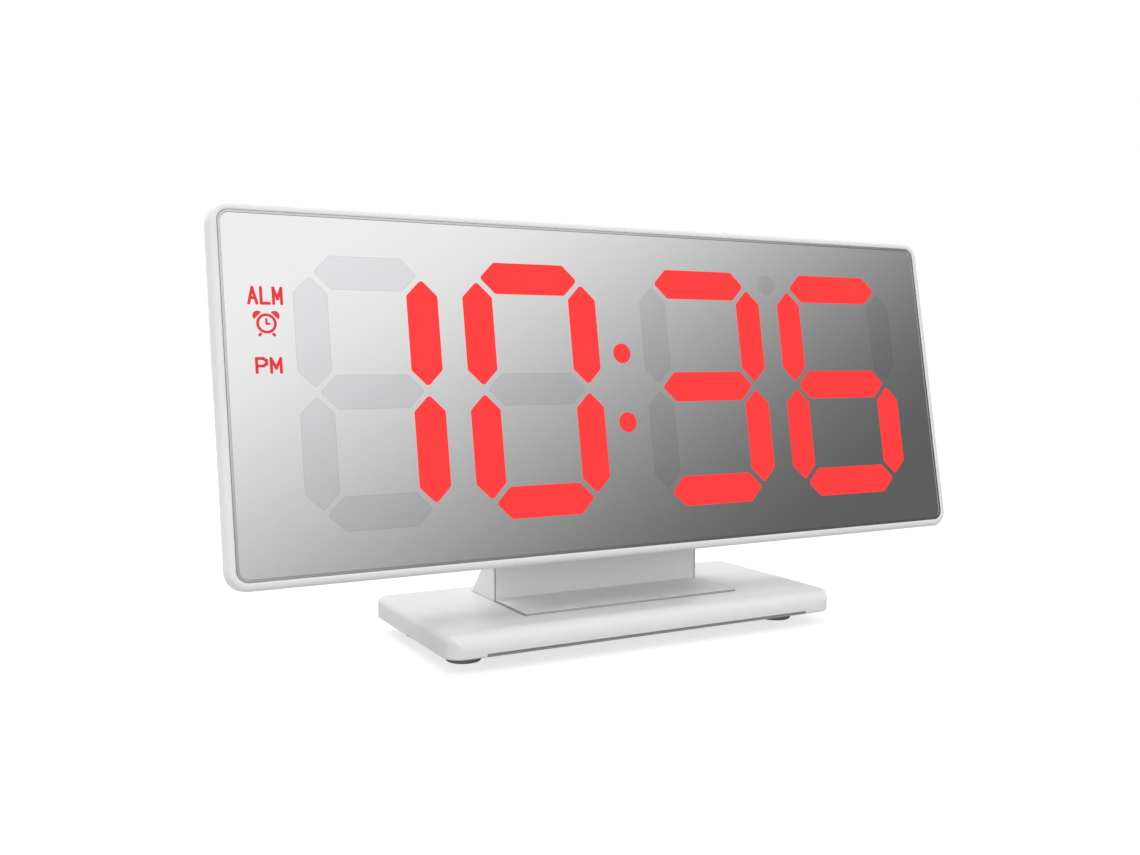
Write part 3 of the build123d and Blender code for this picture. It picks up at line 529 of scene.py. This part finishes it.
def half_disc(radius, middle_at, away):
    """The half of a disc that lies on one side of a line through its middle."""
    disc = flat_disc(radius, middle_at)
    bpy.ops.object.mode_set(mode="EDIT")
    bpy.ops.mesh.select_all(action="SELECT")
    bpy.ops.mesh.bisect(
        plane_co=(*middle_at, 0.0), plane_no=(*away, 0.0), use_fill=False, clear_inner=True
    )
    bpy.ops.object.mode_set(mode="OBJECT")
    return disc


def alarm_clock_drawing(name, size):
    """A small clock with two bells, two hands and two feet, drawn flat."""
    dial = size * 0.40
    line = size * 0.11
    bell_radius = size * 0.20
    bell_away = dial + size * 0.05
    bell_turn = radians(47.0)
    foot_long = size * 0.16
    foot_aside = size * 0.27
    foot_down = size * 0.44
    foot_turn = radians(50.0)
    hand_line = line * 0.8
    long_hand = dial * 0.58
    long_hand_up = dial * 0.22
    short_hand = dial * 0.46
    short_hand_aside = dial * 0.16
    short_hand_down = line * 0.1
    parts = [flat_ring(dial, line)]
    for side in (-1.0, 1.0):
        away = (side * sin(bell_turn), cos(bell_turn))
        parts.append(half_disc(bell_radius, (away[0] * bell_away, away[1] * bell_away), away))
        parts.append(flat_bar(foot_long, line, (side * foot_aside, -foot_down), -side * foot_turn))
    parts.append(flat_bar(hand_line, long_hand, (0.0, long_hand_up)))
    parts.append(flat_bar(short_hand, hand_line, (short_hand_aside, -short_hand_down)))
    return join(name, parts)


# Strokes of the plain letters, each from point to point in a cell one wide and one high
LETTERS = {
    "A": (((0.0, 0.0), (0.5, 1.0)), ((0.5, 1.0), (1.0, 0.0)), ((0.2, 0.34), (0.8, 0.34))),
    "L": (((0.0, 1.0), (0.0, 0.0)), ((0.0, 0.0), (1.0, 0.0))),
    "M": (
        ((0.0, 0.0), (0.0, 1.0)), ((0.0, 1.0), (0.5, 0.3)),
        ((0.5, 0.3), (1.0, 1.0)), ((1.0, 1.0), (1.0, 0.0)),
    ),
    "P": (
        ((0.0, 0.0), (0.0, 1.0)), ((0.0, 1.0), (0.70, 1.0)), ((0.66, 1.0), (1.0, 0.84)),
        ((1.0, 0.88), (1.0, 0.58)), ((1.0, 0.62), (0.66, 0.46)), ((0.70, 0.46), (0.0, 0.46)),
    ),
}


def stroke_bar(line, start, stop):
    """A flat rounded bar from one point to another."""
    way = Vector(stop) - Vector(start)
    halfway = (Vector(start) + Vector(stop)) / 2
    turn = -Vector((1.0, 0.0)).angle_signed(way)
    return flat_bar(way.length + line, line, halfway, turn)


def unite(first, others):
    """Melts solid strokes into one piece."""
    for other in others:
        only(first)
        melt = first.modifiers.new("melt", "BOOLEAN")
        melt.operation = "UNION"
        melt.solver = "EXACT"
        melt.object = other
        bpy.ops.object.modifier_apply(modifier=melt.name)
        only(other)
        bpy.ops.object.delete()
    return first


def word_drawing(name, letters, wide, high, line, deep, room=0.13):
    """Plain letters of solid strokes round the middle. The room between them is a share of a letter."""
    cell = wide / (len(letters) + room * (len(letters) - 1))
    pieces = []
    for place, letter in enumerate(letters):
        left = -wide / 2 + place * cell * (1 + room) + line / 2
        bars = []
        for start, stop in LETTERS[letter]:
            ends = [(left + x * (cell - line), (y - 0.5) * (high - line)) for x, y in (start, stop)]
            bar = stroke_bar(line, *ends)
            settle(bar, bar.matrix_world.copy())
            thicken(bar, deep)
            bars.append(bar)
        pieces.append(unite(bars[0], bars[1:]))
    return join(name, pieces)


class CLOCK_OT_mouldings(Operator):
    """White plastic for the frame, housing, neck, base and cell cover, and grey for the bottom plate,
    whose front lip is painted shade under the base's front edge
    """

    bl_idname = "clock.mouldings"
    bl_label = "White Mouldings"

    def execute(self, context):
        tones = settings().colours
        shell = moulded("shell_white", tones.shell, rough=0.34, grain=5200.0, bump=0.05, drift=0.012)
        housing = moulded("housing_white", tones.shell, rough=0.46, grain=2600.0, bump=0.22)
        cover = moulded("cover_white", tones.cover, rough=0.52, grain=2200.0, bump=0.28)
        # Painted shade: the plate's grey front lip stands in for the shadow under the base's front edge.
        plate_and_shade = moulded("plate_grey", tones.plate_and_shade, rough=0.55, grain=2200.0, bump=0.28, drift=0.12)
        dress(shell, "front_frame", "neck", "base_shell")
        dress(housing, "rear_housing")
        dress(cover, "cell_cover")
        dress(plate_and_shade, "base_plate")
        return {"FINISHED"}


class CLOCK_OT_mirror(Operator):
    """Mirror coat on the face, its bright seal and smoky windows where segments are unlit"""

    bl_idname = "clock.mirror"
    bl_label = "Mirror Face"

    def execute(self, context):
        tones = settings().colours
        values = settings().seam
        coat = polished_metal("mirror_coat", tones.mirror, rough=0.025, drift=0.008)
        window = polished_metal("unlit_window", tones.window, rough=0.03, drift=0.008)
        bright = polished_metal("seal_bright", tones.seam, rough=0.16, drift=0.05)
        dress(coat, "mirror_panel")
        dress(window, "dark_segments")
        low, high = reach("mirror_panel", FACE_RIGHT)
        bottom, top = reach("mirror_panel", FACE_UP)
        grow = 2 * (values.clear + values.wide)
        wide = high - low + grow
        tall = top - bottom + grow
        seal = flat_hoop("mirror_seal", wide, tall, values.corner, values.wide)
        thicken(seal, values.deep)
        settle(seal, FACE @ Matrix.Translation((0.0, 0.0, values.proud)))
        finish_piece(seal, bright, "head")
        return {"FINISHED"}


class CLOCK_OT_digits(Operator):
    """Red light in the segments and the colon"""

    bl_idname = "clock.digits"
    bl_label = "Lit Digits"

    def execute(self, context):
        tones = settings().colours
        dress(glowing("digit_red", tones.lit, tones.unlit), "lit_segments", "colon_dots")
        return {"FINISHED"}


class CLOCK_OT_signs(Operator):
    """Small lit signs left of the digits: alarm word, alarm clock and afternoon word"""

    bl_idname = "clock.signs"
    bl_label = "Lit Signs"

    def execute(self, context):
        values = settings().signs
        tones = settings().colours
        red = glowing("sign_red", tones.sign, tones.unlit)
        line = values.stroke
        deep = values.deep + values.proud
        clock = alarm_clock_drawing("sign_clock", values.bell_size)
        thicken(clock, deep)
        alarm = word_drawing("sign_alarm", "ALM", values.alarm_wide, values.alarm_high, line, deep)
        afternoon = word_drawing("sign_afternoon", "PM", values.day_wide, values.day_high, line, deep)
        for sign, up in ((alarm, values.alarm_up), (clock, values.bell_up), (afternoon, values.day_up)):
            place = Matrix.Translation((values.across, up, values.proud))
            settle(sign, FACE @ place @ sign.matrix_world)
            finish_piece(sign, red, "head")
        return {"FINISHED"}


class CLOCK_OT_trim(Operator):
    """Satin grey of the trim on the neck and the base, with painted shade along its front edge and both
    ends
    """

    bl_idname = "clock.trim"
    bl_label = "Neck Trim"

    def execute(self, context):
        tones = settings().colours
        satin = satin_sheet_edge_shade(
            "trim_grey", tones.trim, tones.trim_edge_shade, "neck_trim", rough=0.48, uneven=0.05, drift=0.03
        )
        dress(satin, "neck_trim")
        return {"FINISHED"}


class CLOCK_OT_feet(Operator):
    """Dark rubber of the feet"""

    bl_idname = "clock.feet"
    bl_label = "Rubber Feet"

    def execute(self, context):
        tone = settings().colours.foot
        rubber = moulded("foot_rubber", tone, rough=0.8, grain=1800.0, bump=0.5, drift=0.25, gloss=0.3)
        dress(rubber, "rubber_feet")
        return {"FINISHED"}


class CLOCK_OT_buttons(Operator):
    """Grey rear buttons and snooze bar, with a raised mark on each round button"""

    bl_idname = "clock.buttons"
    bl_label = "Buttons"

    def drawing(self, key):
        """The flat mark of a button: a ring, an alarm clock, a plus or a minus."""
        values = settings().marks
        name = "mark_" + key
        if key == "alarm":
            return alarm_clock_drawing(name, values.clock_size)
        if key == "mode":
            return join(name, [flat_ring(values.size / 2, values.stroke), flat_disc(values.stroke)])
        bars = [flat_bar(values.size, values.stroke)]
        if key == "plus":
            side = (values.size - values.stroke) / 2
            for way in (-1.0, 1.0):
                bars.append(flat_bar(values.stroke, side, (0.0, way * (side + values.stroke) / 2)))
        return join(name, bars)

    def execute(self, context):
        values = settings().marks
        tones = settings().colours
        grey = moulded("button_grey", tones.button, rough=0.45, grain=3000.0, bump=0.15, drift=0.05)
        mark = moulded("button_mark", tones.mark, rough=0.5, grain=3000.0, bump=0.1, drift=0.03)
        dress(grey, "snooze_bar")
        turn = Matrix((-FACE_RIGHT, FACE_UP, -FACE_OUT)).transposed().to_4x4()
        for key in ("mode", "alarm", "plus", "minus"):
            node = "button_" + key
            dress(grey, node)
            place = FACE_RIGHT * middle(node, FACE_RIGHT) + FACE_UP * middle(node, FACE_UP)
            place += FACE_OUT * (reach(node, FACE_OUT)[0] - values.proud)
            piece = self.drawing(key)
            thicken(piece, values.proud + values.deep)
            settle(piece, Matrix.Translation(place) @ turn)
            finish_piece(piece, mark, "key_" + key)
        return {"FINISHED"}


class CLOCK_OT_inside(Operator):
    """Board, light box, switches, chips, metal pieces and the power socket"""

    bl_idname = "clock.inside"
    bl_label = "Inner Parts"

    def execute(self, context):
        tones = settings().colours
        black = moulded("black_plastic", tones.black, rough=0.5, grain=2400.0, bump=0.2, drift=0.3)
        white = moulded("light_box_white", tones.light_box, rough=0.6, grain=2000.0, bump=0.2)
        green = moulded("board_green", tones.board, rough=0.35, grain=1500.0, bump=0.15, drift=0.2)
        clear = moulded("diode_clear", tones.diode, rough=0.2, grain=4000.0, bump=0.05, drift=0.1)
        blue = moulded("can_blue", tones.can, rough=0.3, grain=4000.0, bump=0.05, drift=0.1)
        steel = polished_metal("plated_steel", tones.steel, rough=0.28, drift=0.12)
        brass = polished_metal("contact_brass", tones.brass, rough=0.3, drift=0.12)
        dress(black, "key_switches", "snooze_switch", "buzzer", "controller_chip", "socket_tongue")
        dress(black, "stem_mode", "stem_alarm", "stem_plus", "stem_minus", "stem_snooze")
        dress(white, "light_box")
        dress(green, "circuit_board")
        dress(clear, "light_diodes")
        dress(blue, "capacitor")
        dress(steel, "housing_screws", "base_screws", "neck_screws", "hinge_pin", "friction_washers")
        dress(steel, "memory_cell", "crystal", "power_socket")
        dress(brass, "contact_under", "contact_side")
        return {"FINISHED"}


class CLOCK_OT_stage(Operator):
    """Pale floor, even light, a shaded card for the mirror to show, and the camera"""

    bl_idname = "clock.stage"
    bl_label = "Stage"

    def seen_flag(self, nodes, links, gloss=1.0):
        """1 for rays that show the background: camera, glass, and gloss by its share."""
        path = nodes.new("ShaderNodeLightPath")
        first = nodes.new("ShaderNodeMath")
        second = nodes.new("ShaderNodeMath")
        first.operation = "MULTIPLY_ADD"
        second.operation = "ADD"
        second.use_clamp = True
        links.new(path.outputs["Is Glossy Ray"], first.inputs[0])
        first.inputs[1].default_value = gloss
        links.new(path.outputs["Is Camera Ray"], first.inputs[2])
        links.new(first.outputs[0], second.inputs[0])
        links.new(path.outputs["Is Transmission Ray"], second.inputs[1])
        return second.outputs[0]

    def make_world(self, values):
        """Even light from all round, seen as plain white."""
        world = bpy.data.worlds.new("studio_air")
        bpy.context.scene.world = world
        world.use_nodes = True
        nodes = world.node_tree.nodes
        links = world.node_tree.links
        nodes.clear()
        out = nodes.new("ShaderNodeOutputWorld")
        mix = nodes.new("ShaderNodeMixShader")
        air = nodes.new("ShaderNodeBackground")
        white = nodes.new("ShaderNodeBackground")
        air.inputs["Color"].default_value = WHITE
        air.inputs["Strength"].default_value = values.ambient
        white.inputs["Color"].default_value = WHITE
        white.inputs["Strength"].default_value = 1.0
        links.new(self.seen_flag(nodes, links), mix.inputs["Fac"])
        links.new(air.outputs[0], mix.inputs[1])
        links.new(white.outputs[0], mix.inputs[2])
        links.new(mix.outputs[0], out.inputs["Surface"])

    def make_floor(self, values):
        """A matt floor that is lifted to white in the picture and keeps its shadow."""
        deselect()
        bpy.ops.mesh.primitive_plane_add(size=values.floor_size)
        floor = bpy.context.object
        floor.name = "studio_floor"
        material, nodes, links, shader = new_finish("floor_white")
        tone = (values.floor_tone,) * 3
        vary_colour(nodes, links, shader, tone, noise(nodes, links, FLOOR_CELLS), values.floor_drift)
        shader.inputs["Roughness"].default_value = values.floor_rough
        shader.inputs["Specular IOR Level"].default_value = 0.0
        shader.inputs["Emission Color"].default_value = WHITE
        lift = nodes.new("ShaderNodeMath")
        lift.operation = "MULTIPLY"
        lift.inputs[1].default_value = values.floor_lift
        links.new(self.seen_flag(nodes, links, values.floor_gloss), lift.inputs[0])
        links.new(lift.outputs[0], shader.inputs["Emission Strength"])
        floor.data.materials.append(material)

    def make_card(self, values):
        """A shaded board in front of the mirror, seen only in reflections."""
        eye = FACE.inverted() @ self.eye_spot(values)
        grow = values.card_far / eye.z
        deselect()
        bpy.ops.mesh.primitive_plane_add(size=1.0)
        card = bpy.context.object
        card.name = "studio_card"
        card.matrix_world = FACE @ Matrix.Translation((0.0, 0.0, values.card_far))
        bpy.ops.object.mode_set(mode="EDIT")
        bpy.ops.mesh.select_all(action="SELECT")
        bpy.ops.transform.resize(value=(values.card_wide, values.card_high, 1.0), orient_type="LOCAL")
        bpy.ops.object.mode_set(mode="OBJECT")
        material = bpy.data.materials.new("card_shade")
        material.use_nodes = True
        nodes = material.node_tree.nodes
        links = material.node_tree.links
        nodes.clear()
        place = nodes.new("ShaderNodeTexCoord")
        along = nodes.new("ShaderNodeVectorMath")
        along.operation = "DOT_PRODUCT"
        way = (cos(values.card_tilt), -sin(values.card_tilt), 0.0)
        along.inputs[1].default_value = way
        shift = grow * (way[0] * eye.x + way[1] * eye.y)
        shade = nodes.new("ShaderNodeMapRange")
        shade.interpolation_type = "SMOOTHSTEP"
        shade.inputs["From Min"].default_value = values.card_from * (1 + grow) - shift
        shade.inputs["From Max"].default_value = values.card_to * (1 + grow) - shift
        shade.inputs["To Min"].default_value = values.card_light
        shade.inputs["To Max"].default_value = values.card_dark
        level = nodes.new("ShaderNodeMath")
        level.operation = "POWER"
        level.inputs[1].default_value = PICTURE_GAMMA
        glow = nodes.new("ShaderNodeEmission")
        out = nodes.new("ShaderNodeOutputMaterial")
        links.new(place.outputs["Object"], along.inputs[0])
        links.new(along.outputs["Value"], shade.inputs["Value"])
        links.new(shade.outputs["Result"], level.inputs[0])
        links.new(level.outputs[0], glow.inputs["Strength"])
        links.new(glow.outputs[0], out.inputs["Surface"])
        card.data.materials.append(material)
        card.visible_camera = False
        card.visible_diffuse = False
        card.visible_transmission = False
        card.visible_volume_scatter = False
        card.visible_shadow = False

    def make_lamp(self, name, place, aim, size, power):
        """A square lamp that is not seen in the mirror."""
        deselect()
        bpy.ops.object.light_add(type="AREA", location=place)
        lamp = bpy.context.object
        lamp.name = name
        lamp.data.energy = power
        lamp.data.size = size
        lamp.rotation_euler = (Vector(aim) - Vector(place)).to_track_quat("-Z", "Y").to_euler()
        lamp.visible_glossy = False

    def eye_spot(self, values):
        """Place of the camera."""
        return FACE.translation + Vector((values.eye_right, values.eye_back, values.eye_up))

    def make_camera(self, values):
        """The camera that takes the photo's view."""
        deselect()
        bpy.ops.object.camera_add(location=self.eye_spot(values))
        camera = bpy.context.object
        camera.name = "photo_camera"
        level = cos(values.eye_dip)
        look = Vector((sin(values.eye_turn) * level, cos(values.eye_turn) * level, -sin(values.eye_dip)))
        camera.rotation_euler = look.to_track_quat("-Z", "Y").to_euler()
        camera.data.sensor_width = values.sensor
        camera.data.lens = values.lens
        camera.data.clip_start = values.eye_near
        camera.data.dof.use_dof = False
        bpy.context.scene.camera = camera

    def execute(self, context):
        values = settings().stage
        context.scene.view_settings.view_transform = "Standard"
        self.make_world(values)
        self.make_floor(values)
        self.make_card(values)
        for name in ("back", "front", "low"):
            place, aim, size, power = (
                getattr(values, name + part) for part in ("_spot", "_aim", "_size", "_power")
            )
            self.make_lamp(name + "_lamp", place, aim, size, power)
        self.make_camera(values)
        return {"FINISHED"}


class CLOCK_PT_sidebar(Panel):
    """Lists the clock's steps in the sidebar of the 3D view"""

    bl_label = "Desk Clock"
    bl_idname = "CLOCK_PT_sidebar"
    bl_space_type = "VIEW_3D"
    bl_region_type = "UI"
    bl_category = "Desk Clock"

    def draw(self, context):
        for step in STEPS:
            self.layout.operator(step.bl_idname)


GROUPS = (ClockColours, ClockSigns, ClockSeam, ClockMarks, ClockStage, ClockSettings)
STEPS = (
    CLOCK_OT_mouldings,
    CLOCK_OT_mirror,
    CLOCK_OT_digits,
    CLOCK_OT_signs,
    CLOCK_OT_trim,
    CLOCK_OT_feet,
    CLOCK_OT_buttons,
    CLOCK_OT_inside,
    CLOCK_OT_stage,
)
CLASSES = GROUPS + STEPS + (CLOCK_PT_sidebar,)


def register():
    """Makes the classes and the scene's settings known to Blender."""
    for cls in CLASSES:
        bpy.utils.register_class(cls)
    bpy.types.Scene.desk_clock = PointerProperty(type=ClockSettings)


def unregister():
    """Takes back what register did."""
    del bpy.types.Scene.desk_clock
    for cls in reversed(CLASSES):
        bpy.utils.unregister_class(cls)


def main():
    """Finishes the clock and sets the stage."""
    register()
    for leftover in [o for o in bpy.data.objects if o.name in STARTUP_OBJECTS]:
        bpy.data.objects.remove(leftover)
    bpy.ops.clock.mouldings()
    bpy.ops.clock.mirror()
    bpy.ops.clock.digits()
    bpy.ops.clock.signs()
    bpy.ops.clock.trim()
    bpy.ops.clock.feet()
    bpy.ops.clock.buttons()
    bpy.ops.clock.inside()
    bpy.ops.clock.stage()


if __name__ == "__main__":
    main()
